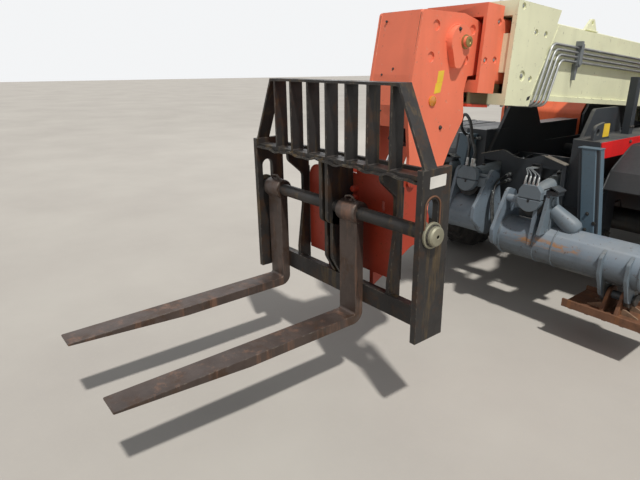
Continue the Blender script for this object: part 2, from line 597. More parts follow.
def boom_details():
    # Four bright pipes run along the left side and turn down beside the collar, outermost first.
    pipes = Shape(BOOM)
    for low_y, run_z in ((-1198, 1491), (-1150, 1463), (-1101, 1436), (-1052, 1408)):
        pipes.tube(bent((190, low_y - 4, 1136, 282, low_y, 1136, 282, low_y + (run_z - 1150) * 0.366, run_z,
                         282, 1440, run_z, 262, 1560, run_z - 10), 45), 8.5, 10)
        for along, way in (((190, low_y - 4, 1136), (-1, 0, 0)), ((272, 1500, run_z - 5), (-0.2, 1, 0))):
            pipes.lathe(along, way, (-12, 13, 20, 13), 6)
    pipes.piece("boom_pipes", "boom_base", "zinc", "rod")
    clamps = Shape(BOOM)
    for y in (-740, 335, 1440):
        clamps.block((268, 292), (y - 22, y + 22), (1385, 1528))
        clamps.prism("X", pane(y - 19, 1392, y + 19, 1516, 8), 292, 300)
        clamps.block((268, 312), (y - 40, y - 22), (1500, 1528))
        clamps.prism("X", (y - 18, 1395, y + 18, 1395, y + 6, 1300, y - 6, 1300), 256, 280)
        for z in (1386, 1522):
            clamps.bolt((292, y, z), (1, 0, 0), 6)
    clamps.piece("pipe_clamps", "boom_base", "grey_plastic", "chassis", 1.5)
    Shape(BOOM).block((130, 182), (-1225, -1025), (1122, 1166)).piece("pipe_block", "boom_base", "iron", "chassis", 3)

    # Pad screws in the collars, jacking screws, the black slot at the collar's lower corner and weld beads.
    screws, slot, beads = Shape(BOOM), Shape(BOOM), Shape(BOOM)
    for side in SIDES:
        out = (side, 0, 0)
        for y, z in ((-1406, 1648), (-1247, 1531), (-1144, 1531), (-1238, 1282)):
            screws.lathe((side * 262, y, z), out, (0, 8, 3, 8, 4, 6), 12)
        screws.lathe((side * 262, -1326, 1294), out, (0, 12, 5, 12, 6, 9), 16)
        slot.prism("X", rounded((-1247, 1160, -1216, 1168, -1208, 1190, -1238, 1182), 5), side * 268.5, side * 271.2)
        beads.beads(side, ((3.5, 271.2, -1205, 1195, 271.2, -1012, 1600), (4, 257, -1000, 1400, 257, 1480, 1400),
                           (4, 257, -1100, 1197, 257, 1480, 1197), (4, 254, -655, 1610.5, 254, -495, 1610.5)))
    for x in (-120, 120):
        for y in (-1400, -1250):
            screws.bolt((x, y, 1675), UP, 11)
            screws.bolt((x, y, 1130), (0, 0, -1), 11)
    screws.piece("pad_screws", "boom_base", "zinc", "rod")
    slot.piece("collar_slots", "boom_base", "seal", "chassis")
    beads.piece("boom_beads", "boom_base", "cream", "boom_cream")

    # Pipe trough between the head and the collar, with its red lip.
    trough, inside, middle = Shape(BOOM), Shape(BOOM), Shape(BOOM)
    for side in SIDES:
        trough.block((side * 150, side * 158), (-1650, -1466), (1134, 1191))
    trough.block((-158, 158), (-1650, -1466), (1128, 1136))
    trough.piece("hose_trough", "boom_mid", "olive", "boom_orange", 2)
    lip = Shape(BOOM).block((-166, 166), (-1656, -1464), (1112, 1128))
    lip.piece("trough_lip", "boom_mid", "red", "boom_orange", 2)
    for x in range(-105, 106, 35):
        inside.tube((x, -1655, 1150, x, -1475, 1150), 11, 10)
    inside.piece("trough_pipes", "boom_mid", "iron", "boom_orange")
    for side in SIDES:
        for y, z in ((-1515, 1366), (-1600, 1357), (-1515, 1560)):
            middle.lathe((side * 199, y, z), (side, 0, 0), (0, 8, 3, 8, 4, 6), 12)
    middle.piece("middle_screws", "boom_mid", "zinc", "rod")


def head_details():
    """Pin ends, screws, seams, blank plates and a reflector."""
    pins, bolts, seams, gaps, plates = Shape(), Shape(), Shape(), Shape(), Shape()
    for side in SIDES:
        out = (side, 0, 0)
        pins.lathe((side * 206, *TILT_PIN), out, (0, 27, 3, 27, 4, 25, 4, 12, 1, 10, 1, 0), 28)
        pins.lathe((side * 184, *TILT_PIN), out, (0, 36, 6, 35, 7, 30), 28)
        bolts.bolt((side * 184.5, -1800, 1822), out, 7)
        for y, z in ((-2040, 905), (-1965, 905)):
            bolts.lathe((side * 149, y, z), out, (0, 10, 3, 10, 4, 7), 12)
        bolts.bolt((side * 149, -1860, 1330), out, 8)
        front = [(side * x, y, z) for x, y, z in ((129.5, -2046, 1890), (129.5, -2097, 1601), (129.5, -2116, 1450),
                                                  (129.5, -2100, 1340))]
        seams.bead(front, 3.5)
        gaps.tube([(side * 136.5, y - 0.5, z) for _, y, z in front], 2.2, 6)
        seams.bead([(side * 150, y, z) for y, z in around(85, 25, -20, 200, (TILT_PIN[0] - 28, TILT_PIN[1]))], 4)
    for x, z, size in ((-85, 1860, 6), (-65, 1600, 6), (10, 1630, 6), (-40, 1420, 5)):
        bolts.lathe((x, -2052 - (1905 - z) * 0.155, z), (0, -1, 0.1), (-4, size, 2, size, 3, size * 0.7), 12)
    pins.piece("tilt_pin_ends", "boom_inner", "brass", "rod")
    bolts.piece("head_bolts", "boom_inner", "iron", "rod")
    seams.piece("head_beads", "boom_inner", "orange", "boom_orange")
    gaps.piece("head_gaps", "boom_inner", "rusty", "boom_orange")
    plates.prism("X", (-1912, 1560, -1866, 1566, -1858, 1622, -1904, 1618), 148.9, 149.8)
    plates.prism("X", (-1930, 1506, -1880, 1512, -1868, 1564, -1920, 1558), 148.9, 150.0)
    plates.piece("head_plates", "boom_inner", "yellow_plate", "boom_orange")
    mark = Shape().lathe((149, -1940, 1471), (1, 0, 0), (0, 27, 6, 27, 8, 24, 9, 0), 28)
    mark.piece("head_reflector", "boom_inner", "amber", "lamp")


def carriage_details():
    """Lip, shaft collars, plates, blank label and welds of the fork carriage, in the level tool's frame."""
    lip, runs, edges = Shape(TOOL), 56, []
    for k in range(runs + 1):
        wave = 6 * math.sin(k * 0.55) + 4 * math.sin(k * 1.31 + 1)
        edges.append((-605 + 1210 * k / runs, -2536 - wave * 0.6, 1208.5 + wave))
    for one, two in zip(edges, edges[1:]):
        lip.add([(x, *p) for x, y, z in (one, two) for p in ((-2470, z - 4), (y, z - 4), (y, z + 6), (-2470, z + 6))],
                BOX_FACES)
    lip.piece("carriage_lip", "carriage", "carriage", "carriage_black")
    collars, rims, plates, beads = Shape(TOOL), Shape(TOOL), Shape(TOOL), Shape(TOOL)
    for side in SIDES:
        out = (side, 0, 0)
        collars.lathe((side * 196, *TOOL_HINGE[1:]), out, (0, 46, 8, 46, 11, 42, 11, 18, 16, 16, 16, 0), 28)
        collars.lathe((side * 635.2, -2470, 980), out, (0, 58, 10, 58, 12, 55, 12, 50), 36)
        collars.lathe((side * 652, -2470, 980), out, (0, 44, 14, 44, 21, 38, 22, 30, 22, 10, 20, 8, 20, 0), 36)
        # A stained rim round the slot in the end plate.
        slot = [(-2517, 1000), *around(47, 15, 180, -180, (-2470, 1100)), (-2423, 1000)]
        rims.tube(walk([(side * 636.5, y, z) for y, z in slot], 20), 4, 8)
        for x in (347.5, 370.5):
            beads.beads(side, ((4, x, -2359.5, 660, x, -2359.5, 1120), (5, x, -2436, 602, x, -2404, 602),
                               (5, x, -2410, 1170.5, x, -2370, 1170.5)))
        beads.beads(side, ((5, 604.5, -2515, 1211, 604.5, -2440, 1211), (6, 604.5, -2443, 603, 604.5, -2405, 603),
                           (5, 604.5, -2443, 499, 604.5, -2443, 601), (5, 458, -2519, 1577.5, 458, -2446, 1577.5)))
    collars.piece("shaft_collars", "carriage", "old_zinc", "rod", 1)
    rims.piece("slot_rims", "carriage", "rusty", "rod")
    # Two plates between the forks run down to the lower rail.
    for x in (-45, 2):
        outline = rounded((-2498, 960, -2360, 960, -2360, 601, -2440, 601, -2498, 700), [0, 0, 0, 0, 50])
        plates.prism("X", outline, x, x + 22)
    plates.piece("centre_plates", "carriage", "carriage", "carriage_black", 1.5)
    label = Shape(TOOL).prism("X", rounded((-2496, 1180, -2396, 1183, -2394, 1232, -2494, 1229), 4), 635, 636.2)
    label.piece("carriage_label", "carriage", "white_plate", "carriage_black")
    for n in range(-3, 4):
        for x in (n * 143 - 6.5, n * 143 + 6.5):
            beads.beads(1, ((4, x, -2518, 1577.5, x, -2447, 1577.5), (4, x, -2518, 1231.5, x, -2447, 1231.5)))
    beads.beads(1, [(4, x, -2404, 602, x, -2362, 602) for x in (-45, -23, 2, 24)])
    beads.piece("carriage_beads", "carriage", "weld", "carriage_black")
    # A coupling with a red plug.
    plug = Shape(TOOL).lathe((50, -2358, 1060), (0, -1, 0), (0, 16, 30, 16, 36, 12, 36, 0), 20)
    plug.lathe((50, -2358, 1015), (0, -1, 0), (0, 16, 22, 16, 26, 12, 26, 0), 20)
    plug.piece("coupling_caps", "carriage", "red", "coupler_red")
    # The shanks' locking hooks, grease points and boss welds.
    for name, x in (("left", 135), ("right", -510)):
        hook = Shape(TOOL)
        hook.tube(bent((x - 30, -2480, 1028, x - 30, -2488, 1052, x + 10, -2480, 1060, x + 32, -2470, 1030), 15), 5, 8)
        hook.lathe((x, -2470, 1033), UP, (0, 12, 4, 11, 4, 5, 16, 5), 12)
        for way in SIDES:
            hook.lathe((x + way * 62.5, -2470, 980), (way, 0, 0), (-2, 52, 3, 50, 3, 36), 28)
        hook.bead((x - 55, -2497.5, 935, x + 55, -2497.5, 935), 6)
        hook.piece(f"fork_hook_{name}", f"fork_{name}", "fork", "fork_steel")


boom_details()
head_details()
carriage_details()

# Stabilizers. Left-hand places; the right one is mirrored and raised.

def stabilizer_details(side):
    matrix, leg = LEGS[side], f"leg_{side}"
    x, z, hold = {"left": (298, 852, (324, 343)), "right": (212, 788, (82, 142))}[side]
    front, back, half = -1136, -1093, 78
    cap, notch, lug, hood = (Shape(matrix) for _ in range(4))
    cap.prism("Y", around(half, 23, 180, 180, (x, z - 4)), front, back)
    cap.prism("Y", (x - half, z + 2, x + half, z + 2, x + half, z + 52, x + half * 0.62, z + 88,
                    x - half * 0.62, z + 88, x - half * 0.94, z + 52), front + 4, back)
    cap.block((x - half * 0.8, x + half * 0.8), (front + 12, back - 4), (z - 6, z + 4))
    cap.block(hold, (back - 4, -1045), (z - 40, z + 20))
    cap.piece(f"jack_cap_{side}", leg, "grey", "stabilizer_grey", 3)
    notch.prism("Y", (x - 9, z - 4, x + 9, z - 4, x + 6, z - 22, x - 6, z - 22), front - 1, front + 4)
    notch.lathe((x, back + 3.5, z - 24), (0, -1, 0), (0, 89, 3, 89, 3, 0), 40)
    notch.piece(f"cap_notch_{side}", leg, "seal", "stabilizer_grey")

    lug.prism("X", rounded((-1150, 640, -1078, 905, -992, 905, -880, 640), [0, 45, 45, 0]), 386, 410)
    lug.prism("X", rounded((-1060, 630, -1040, 800, -990, 800, -930, 630), [0, 20, 20, 0]), 410, 420)
    lug.lathe((405, -1010, 785), (185, 20, -125), (0, 46, 140, 57, 175, 54, 195, 40, 203, 20, 205, 0), 32)
    lug.prism("X", (-1075, 880, -1060, 936, -1020, 936, -1010, 880), 388, 400)
    # A gusset wraps the tube's front above the foot's pin.
    gusset = rounded((-1085, 640, -1140, 600, -1140, 500, -1060, 345, -985, 330, -985, 400, -1085, 470),
                     [0, 20, 30, 30, 30, 0, 20])
    for at in (775, 925):
        lug.prism("X", gusset, at, at + 20)
    # A ring stands proud at each end of the round tube and by the arm.
    for at in (104, 345, 470):
        lug.lathe((at, -985, 550), (1, 0, 0), (0, 132.5, 3, 134.5, 7, 134.5, 10, 132.5), 48)
    lug.lathe((985, -985, 550), (1, 0, 0), (0, 134, 10, 134, 14, 130), 48)
    lug.piece(f"leg_lug_{side}", leg, "grey", "stabilizer_grey", 2)
    hood.prism("Y", (374, 922, 418, 944, 470, 922, 470, 914, 418, 936, 374, 914), -1100, -1010)
    hood.block((386, 462), (-1092, -1014), (890, 916))
    hood.piece(f"lug_hood_{side}", leg, "chassis", "stabilizer_grey", 1)
    for at, height, r in ((410, 837, 27), (345, 810, 30)):
        end = Shape(matrix).lathe((at, -1035, height), (1, 0, 0),
                                  (0, r, 7, r, 9, r * 0.85, 9, r * 0.4, 6, r * 0.3, 6, 0), 24)
        end.piece(f"lug_pin_{side}_{at}", leg, "grey", "stabilizer_grey")
    pins, beads = Shape(matrix), Shape(matrix)
    for at, way in ((767, -1), (953, 1)):
        pins.lathe((at, -985, 350), (way, 0, 0), (0, 36, 9, 36, 12, 32, 12, 0), 28)
    pins.bolt((412, -1010, 735), (1, 0, 0), 8)
    pins.piece(f"leg_pins_{side}", leg, "iron", "rod")
    circle = around(133, 72, middle=(-985, 550))
    beads.bead([(102.5, *p) for p in circle + circle[:1]], 5)
    for at in (319, 346, 385, 411, 779, 806, 914, 941):
        beads.bead([(at, *p) for p in around(133, 14, 236 if at > 700 else 62, 65, (-985, 550))], 5)
    beads.piece(f"leg_beads_{side}", leg, "grey", "stabilizer_grey")

    # Foot: gussets beside the ears and worn studs below.
    level = moved(0, -15.037, 84.964) @ MIRROR if side == "right" else None
    foot, studs = Shape(level), Shape(level)
    for a, b in ((809, 715), (911, 1005)):
        for y in (-1040, -938):
            foot.prism("Y", (a, 259, a, 296, a + (b - a) * 0.25, 296, b, 266, b, 259), y, y + 8)
    foot.piece(f"foot_gussets_{side}", f"foot_{side}", "pale_rust", "foot_rust", 1)
    for x in range(660, 1061, 100):
        studs.block((x - 12, x + 12), (-1135, -835), (230.5, 240.5))
    studs.piece(f"foot_studs_{side}", f"foot_{side}", "rusty", "foot_rust", 2)


# Hoses. Each follows one smooth spline through the points of its route, and ends in crimped fittings.

def hose(name, diameter, bodies, points, guard=None, matrix=Matrix.Identity(4), slot="chassis", finish="hose"):
    points, radius = grouped(points, 3), diameter / 2
    curve = bpy.data.curves.new(name, "CURVE")
    curve.dimensions = "3D"
    spline = curve.splines.new("NURBS")
    spline.points.add(len(points) - 1)
    for knot, point in zip(spline.points, points):
        knot.co = (*(matrix @ metres(point)), 1)
    spline.order_u, spline.resolution_u = 3, 14
    spline.use_endpoint_u = True
    route = bpy.data.objects.new(name + "_route", curve)
    line = bpy.data.meshes.new_from_object(route)
    path = [vertex.co * 1000 for vertex in line.vertices]
    bpy.data.objects.remove(route)
    ends = path[0], path[-1]
    made = Shape().tube(path, radius, 14).piece(name, bodies, finish, slot, ends=ends)
    for end, (at, ahead), body in zip("ab", ((path[0], path[2]), (path[-1], path[-3])), bodies):
        way = (ahead - at).normalized()
        fitting = Shape().lathe(at, way, (-6, radius * 1.9, 12, radius * 1.9, 14, radius * 1.6), 6)
        fitting.lathe(at + way * 12, way, (0, radius * 1.3, 4, radius * 1.45, 34, radius * 1.45, 37, radius * 1.1), 16)
        fitting.piece(f"{name}_fitting_{end}", body, "zinc", "rod")
    if guard:
        low, high = (int(len(path) * share) for share in guard)
        coil, turns = [], 0.0
        for p, q in zip(path[low:high], path[low + 1:high]):
            along = (q - p).normalized()
            side = along.cross(Vector((1, 0.01, 0))).normalized()
            other = along.cross(side)
            steps = max(2, round((q - p).length / 0.8))
            for k in range(steps):
                turns += (q - p).length / steps / 8.5
                a = 2 * math.pi * turns
                coil.append(p.lerp(q, k / steps) + (side * math.cos(a) + other * math.sin(a)) * (radius + 2.2))
        Shape().tube(coil, 1.9, 5).piece(f"{name}_guard", bodies, "zinc", slot, ends=ends)
    path = [tuple(metres(p)) for p in path]


def add_hoses():
    right, left, tool = ("chassis", "leg_right"), ("chassis", "leg_left"), ("carriage", "carriage")
    hose("jack_hose_right_a", 22, right, (
        -430, -722, 1125, -432, -790, 1135, -445, -870, 1190, -440, -890, 1280, -395, -905, 1320,
        -320, -935, 1265, -262, -985, 1140, -190, -1035, 1085, -172, -1074, 1045, -172, -1076, 990))
    hose("jack_hose_right_b", 14, right, (
        -380, -722, 1125, -382, -800, 1130, -370, -905, 1160, -315, -965, 1165, -260, -1015, 1110,
        -222, -1066, 1060, -220, -1076, 990))
    hose("leg_hose_left_a", 15, left, (
        -70, -766, 905, -70, -830, 900, -60, -950, 880, -30, -1020, 790, -12, -1030, 700, -8, -1020, 600,
        20, -1005, 545, 70, -1000, 540), (0.36, 0.80))
    hose("leg_hose_left_b", 15, left, (
        -70, -766, 865, -74, -820, 860, -78, -930, 840, -58, -990, 760, -42, -995, 670, -34, -985, 590,
        0, -965, 515, 70, -960, 510), (0.36, 0.80))
    for n in range(4):
        start, end = 113 + n * 12, 252 + n * 28
        hose(f"cap_line_{n + 1}", 9, left, (
            start, -766, 985, start, -820, 987, start + 18, -915, 996, end - 30, -1040 - 10 * (n % 2), 992,
            end, -1106, 982, end, -1116, 942), finish="grey_plastic")
    for name, route in (("a", (-75, -2385, 1160, -76, -2392, 1070, -75, -2397, 960, -73, -2394, 840, -70, -2385, 720)),
                        ("b", (-98, -2380, 1150, -100, -2388, 1060, -101, -2392, 950, -97, -2388, 820,
                               -92, -2380, 700))):
        hose(f"carriage_hose_{name}", 18, tool, route, matrix=TOOL, slot="carriage_black")


# Chassis: front posts, red bands, plates, ledges, pipes and welds.

def chassis_details():
    for side, way in (("left", 1), ("right", -1)):
        post = Shape().loft(*([(way * x, y, z) for x, y in ((a, -726.2), (a, -770), (a + 24, -794.5),
                                                            (b - 24, -794.5), (b, -770), (b, -726.2))]
                              for z, a, b in ((604, 470, 602), (1151, 400, 532))))
        post.block((way * 396, way * 536), (-797.5, -722), (1150, 1158))
        post.piece(f"post_cover_{side}", "chassis", "post", "chassis", 3)
        band = Shape().prism("X", (-716, 1186, 632, 1186, 632, 1080, -668, 1080, -700, 1110), way * 499.5, way * 504)
        band.piece(f"red_band_{side}", "chassis", "signal_red", "chassis", 2)
    plate = Shape().prism("X", rounded((-582, 1204, -494, 1204, -498, 1288, -578, 1290), 6), 439.8, 441.2)
    plate.piece("lug_plate", "chassis", "yellow_plate", "chassis")
    ledges, bolts, pipes, beads, cover = (Shape() for _ in range(5))
    for way in SIDES:
        corners = [(way * x, y, z) for x, y, z in ((175, -772, 1062), (322, -772, 1021.5), (322, -716, 1021.5),
                                                   (175, -716, 1062))]
        ledges.loft(corners, [(x, y, z + 5) for x, y, z in corners])
    ledges.piece("rubbed_ledges", "chassis", "rubbed", "chassis", 1)
    for way in SIDES:
        out = (way, 0, 0)
        bolts.lathe((way * 568, -794.5, 690), (0, -1, 0), (-1, 13, 2, 12, 2, 6), 20)
        for z in (745, 640):
            bolts.bolt((way * 520, -794.5, z), (0, -1, 0))
        for y in (-300, 50, 400):
            bolts.bolt((way * 504, y, 1160), out)
        for y in (-620, 520):
            for z in (1030, 920):
                bolts.bolt((way * 376, y, z), out, 10)
        # Pin keepers at the boom's pivot, the lift pin and the leg hinge.
        for x, y, z, r in ((325, 3065, 1395, 85), (325, 2600, 520, 70), (485, -385, 500, 50)):
            bolts.lathe((way * x, y, z), out, (-2, r, 12, r, 15, r - 4, 15, r * 0.35, 10, r * 0.3, 10, 0), 32)
            for p in around(r * 0.72, 4, 45, middle=(y, z)):
                bolts.bolt((way * (x + 15), *p), out, 7)
        for y in (-148, -112):
            bolts.bolt((430.5 if way > 0 else 379.5, y, 1240), out, 7)
        edge = 419.5 if way > 0 else 300
        beads.beads(way, ((5, 326, -724, 1191, 326, 638, 1191), (4, 301, -760.5, 630, 301, -760.5, 1010),
                          (4, edge, -690, 1190.5, edge, -480, 1190.5), (5, 501, -460, 866, 501, -310, 866)))
    bolts.piece("chassis_bolts", "chassis", "iron", "rod")
    for up in (0, 22):
        pipes.tube(bent((326, -610, 790 + up, 400, -585, 795 + up, 455, -500, 822 + up, 462, -180, 835 + up,
                         400, -80, 835 + up, 326, -60, 835 + up), 40), 7, 10)
        for at, way in (((400, -585, 795 + up), (0.55, 0.85, 0.2)), ((462, -400, 828 + up), (0, 1, 0.03))):
            pipes.lathe(at, way, (-18, 12, 18, 12), 6)
    for x in (-260, -235, 235, 260):
        pipes.tube((x, 450, 520, x, 2200, 520), 7, 8)
    pipes.piece("chassis_pipes", "chassis", "zinc", "rod")
    beads.piece("chassis_beads", "chassis", "chassis", "chassis")
    # The black hood over the hole where four lines leave the front plate.
    cover.block((100, 160), (-786, -758), (1002, 1008))
    for x in (96, 154):
        cover.block((x, x + 6), (-786, -758), (960, 1008))
    cover.block((102, 154), (-762.5, -759.5), (962, 1000))
    cover.piece("line_cover", "chassis", "plastic", "chassis", 1.5)


add_hoses()
for leg_side in LEGS:
    stabilizer_details(leg_side)
chassis_details()


# Axles and knuckles.

def axle_details():
    for name, y, out in (("front", FRONT_AXLE, -1), ("rear", REAR_AXLE, 1)):
        gear, rods = (Shape(moved(0, y, WHEEL_RADIUS)) for _ in range(2))
        gear.lathe((0, out * 140, 0), (0, out, 0), (0, 150, 50, 146, 66, 120, 74, 60, 74, 0), 40)
        for x, z in around(132, 10):
            gear.bolt((x, out * 190, z), (0, out, 0))
        gear.lathe((60, out * 210, -50), (0, out, 0), (0, 16, 14, 16, 14, 0), 6)
        for side in SIDES:
            gear.lathe((side * 108, 0, 0), (side, 0, 0), (0, 150, 16, 150, 30, 130, 120, 94, 150, 86.5), 36)
            gear.lathe((side * 270, 0, 0), (side, 0, 0), (0, 93, 22, 93), 36)
            for p in around(138, 8, 22.5):
                gear.bolt((side * 126, *p), (side, 0, 0), 7)
        # The steering cylinder lies along the axle, with a short bright rod at each end.
        gear.lathe((-190, -out * 118, 30), (1, 0, 0), (0, 30, 6, 36, 374, 36, 380, 30), 28)
        for x in (-140, 140):
            gear.block((x - 14, x + 14), (-out * 118, -out * 60), (5, 55))
        gear.piece(f"axle_details_{name}", "chassis", "iron", "chassis", 1.5)
        rods.lathe((-285, -out * 118, 30), (1, 0, 0), (0, 16, 570, 16), 20)
        rods.piece(f"steering_rods_{name}", "chassis", "chrome", "rod")
    caps = Shape()
    for side, y in CORNERS.values():
        for way in SIDES:
            z = WHEEL_RADIUS + way * 185
            caps.lathe((side * 760, y, z), (0, 0, way), (-2, 50, 8, 50, 12, 44, 12, 0), 28)
            for p in around(34, 4, 45, middle=(side * 760, y)):
                caps.bolt((*p, z + way * 11), (0, 0, way), 6)
    caps.piece("kingpin_caps", "chassis", "iron", "rod")


# Cab. Its front and back lean in above the belt.

BELT, CAB_MIDDLE = 1350, 760


def screen_y(z):
    return 720 + max(0, z - BELT) * 26 / 109


def back_y(z):
    return 2190 - max(0, z - BELT) * 6 / 109


def cab_details():
    seals, door, hinges, roof, wiper, rails, tank, cap, step = (Shape() for _ in range(9))
    top, low, high = screen_y(2310) - 1, back_y(1450) + 1, back_y(2290) + 1
    seals.ring((405, 719, 950, 1100, 719, 950, 1100, 719, BELT, 1100, top, 2310, 405, top, 2310, 405, 719, BELT), 9)
    seals.ring((405, low, 1450, 1100, low, 1450, 1100, high, 2290, 405, high, 2290), 8)
    seals.ring((334, 860, BELT, 334, 1060, 2290, 334, 1900, 2290, 334, 1900, BELT), 8)
    seals.ring((1171, 1960, 1450, 1171, 1960, 2290, 1171, 2070, 2290, 1171, 2115, 1450), 7)
    seals.ring((425, 1110, 2441, 1080, 1110, 2441, 1080, 1940, 2441, 425, 1940, 2441), 8)
    seals.piece("cab_seals", "chassis", "seal", "cab_paint")
    door.ring((1171, 870, 930, 1171, 870, BELT, 1171, 1100, 2265, 1171, 1840, 2265, 1171, 1840, 930), 8)
    door.prism("X", pane(1715, 1205, 1865, 1285, 20), 1169.5, 1174.5)
    door.lathe((1174, 1735, 1220), (1, 0, 0), (0, 12, 6, 12, 6, 0), 20)
    door.piece("door_trim", "door", "seal", "cab_paint", 1)
    for z in (822, 868, 1272, 1318):
        hinges.bolt((1176, 784, z), (1, 0, 0), 7)
    hinges.piece("hinge_bolts", "chassis", "iron", "rod")
    # Drip rails from the front to the back, and ribs on the roof.
    for x in (352, 1153):
        roof.tube(bent((x, screen_y(1360) - 4, 1360, x, screen_y(2400) - 4, 2400, x, 1050, 2446.5,
                        x, 2100, 2446.5, x, back_y(2380) + 4, 2380), 60), 9, 8)
    for x in (520, 760, 1000):
        roof.block((x - 12, x + 12), (1960, 2090), (2438, 2446))
    roof.piece("roof_rails", "chassis", "cab", "cab_paint", 1)
    # Wipers with a pivot cap, arm and jointed blade, in front and behind.
    wiper.lathe((960, 722, 925), (0, -1, 0), (0, 20, 16, 20, 22, 14, 22, 0), 20)
    wiper.tube(bent((960, 704, 925, 930, 700, 1100, 850, 694, 1350, 745, screen_y(1700) - 30, 1700), 50), 6, 8)
    wiper.tube([(742, screen_y(z) - 20, z) for z in (1380, 1500, 1700, 1900, 2020)], 5, 8)
    wiper.prism("X", [(screen_y(z) - out, z) for z, out in ((1380, 18), (1380, 4), (2020, 4), (2020, 18))], 740, 744)
    wiper.lathe((760, 2188, 1420), (0, 1, 0), (0, 18, 14, 18, 18, 12, 18, 0), 20)
    wiper.tube((760, 2204, 1420, 720, back_y(1900) + 12, 1900), 5, 8)
    wiper.tube([(725, back_y(z) + 8, z) for z in (1620, 2180)], 5, 8)
    wiper.piece("wipers", "chassis", "plastic", "cab_paint")
    # Grab rails beside the door and inside the front post.
    rails.tube(bent((1168, 1935, 980, 1203, 1935, 980, 1203, 1935, 1820, 1168, 1935, 1820), 30), 11, 12)
    rails.tube(bent((1100, 815, 1050, 1085, 860, 1050, 1085, 980, 1620, 1100, 990, 1660), 30), 9, 10)
    rails.piece("grab_rails", "chassis", "plastic", "cab_paint")
    # Straps, a filler cap and a step of the tank, all blank.
    for y in (1020, 1780):
        tank.block((1048, 1053), (y - 25, y + 25), (420, 575))
        for z in (396, 578):
            tank.block((380, 1050), (y - 25, y + 25), (z, z + 5))
        tank.bolt((1053, y, 445), (1, 0, 0), 9)
    tank.piece("tank_straps", "chassis", "zinc", "chassis", 1)
    cap.lathe((1045, 1930, 500), (1, 0, 0.25), (0, 40, 14, 40, 16, 48, 40, 46, 46, 40, 46, 0), 30)
    for p in around(46, 10, middle=(1930, 504)):
        cap.lathe((1060, *p), (1, 0, 0.25), (0, 6, 22, 6), 8)
    cap.piece("tank_cap", "chassis", "plastic", "chassis", 1)
    for n in range(24):
        y = 965 + n * 20.5
        for x in (1062, 1104, 1146):
            step.block((x - 14, x + 14), (y, y + 8), (444, 448.5))
    step.block((1166, 1172), (950, 1450), (405, 449))
    step.piece("step_tread", "chassis", "zinc", "chassis")


def lamp_details():
    clear, amber, red, bezels, glass = (Shape() for _ in range(5))

    def lens_plate(shape, x, z, half, tall, y, way, radius=12):
        """A lens with round corners and its bezel, facing forward or backward."""
        outline = pane(x - half, z - tall, x + half, z + tall, radius)
        shape.prism("Y", outline, y - way * 2, y + way * 5)
        bezels.tube([(a, y + way * 2, b) for a, b in outline], 3.5, 8, closed=True)

    for x, y, way in ((520, 1040, -1), (990, 1040, -1), (760, 2046, 1)):
        lens_plate(clear, x, 2497, 48, 33, y, way)
    for side in SIDES:
        lens_plate(clear, side * 1043, 1197.5, 45, 39, -255, -1)
        lens_plate(amber, side * 1113, 1197.5, 16, 39, -255, -1, 8)
        lens_plate(red, side * 783, 1167, 40, 24, 3681, 1, 8)
        lens_plate(amber, side * 868, 1167, 30, 24, 3681, 1, 8)
        red.lathe((side * 900, 3714, 660), (0, 1, 0), (0, 36, 5, 36, 7, 33, 7, 0), 28)
    clear.piece("clear_lenses", "chassis", "lamp", "lamp", 1.5)
    amber.piece("amber_lenses", "chassis", "amber", "lamp", 1.5)
    red.piece("red_lenses", "chassis", "tail", "lamp", 1.5)
    bezels.piece("lamp_bezels", "chassis", "plastic", "lamp")
    for left, y in ((1018, 659.5), (-1162, 679.5)):
        glass.prism("Y", pane(left, 1570, left + 144, 1890, 15), y, y + 2)
    glass.piece("mirror_glass", "chassis", "mirror", "mirror")


def hood_details():
    bars, latch, catch, handle, panel, bolts, trim = (Shape() for _ in range(7))
    for n in range(62):
        bars.block((-1155.5, -1154), (1245 + n * 10, 1248 + n * 10), (978, 1245))
    for n in range(20):
        bars.block((-1030, -500), (2228.5, 2230), (990 + n * 12.5, 993 + n * 12.5))
    bars.piece("hood_grilles", "hood", "plastic", "hood")
    for y in (900, 2060):
        latch.block((-1172, -1164), (y - 30, y + 30), (955, 1045))
        latch.block((-1178, -1171), (y - 18, y + 18), (940, 1035))
        latch.lathe((-1178, y, 1020), (-1, 0, 0), (0, 10, 4, 10, 4, 0), 16)
        catch.block((-1171, -1164), (y - 22, y + 22), (890, 922))
    latch.piece("hood_latches", "hood", "plastic", "hood", 2)
    catch.piece("hood_catches", "chassis", "zinc", "chassis", 2)
    handle.tube(bent((-1163, 1450, 1345, -1190, 1450, 1345, -1190, 1650, 1345, -1163, 1650, 1345), 18), 8, 10)
    handle.piece("hood_handle", "hood", "plastic", "hood")
    for a, b in ((860, 1420), (1500, 2120)):
        panel.prism("X", pane(a, 640, b, 880, 30), -1169.5, -1164)
        for y in (a + 40, (a + b) / 2, b - 40):
            for z in (665, 855):
                bolts.bolt((-1169.5, y, z), (-1, 0, 0), 7)
    panel.piece("bay_panels", "chassis", "chassis", "chassis", 1.5)
    for y in (1030, 1530):
        bolts.bolt((-347, y, 1443.5), UP, 4)
    bolts.piece("bay_bolts", "chassis", "iron", "rod")
    trim.tube(walk((-1165.5, 755, 929.5, -1165.5, 2235, 929.5), 50), 5, 8)
    trim.piece("hood_seal", "chassis", "seal", "hood")


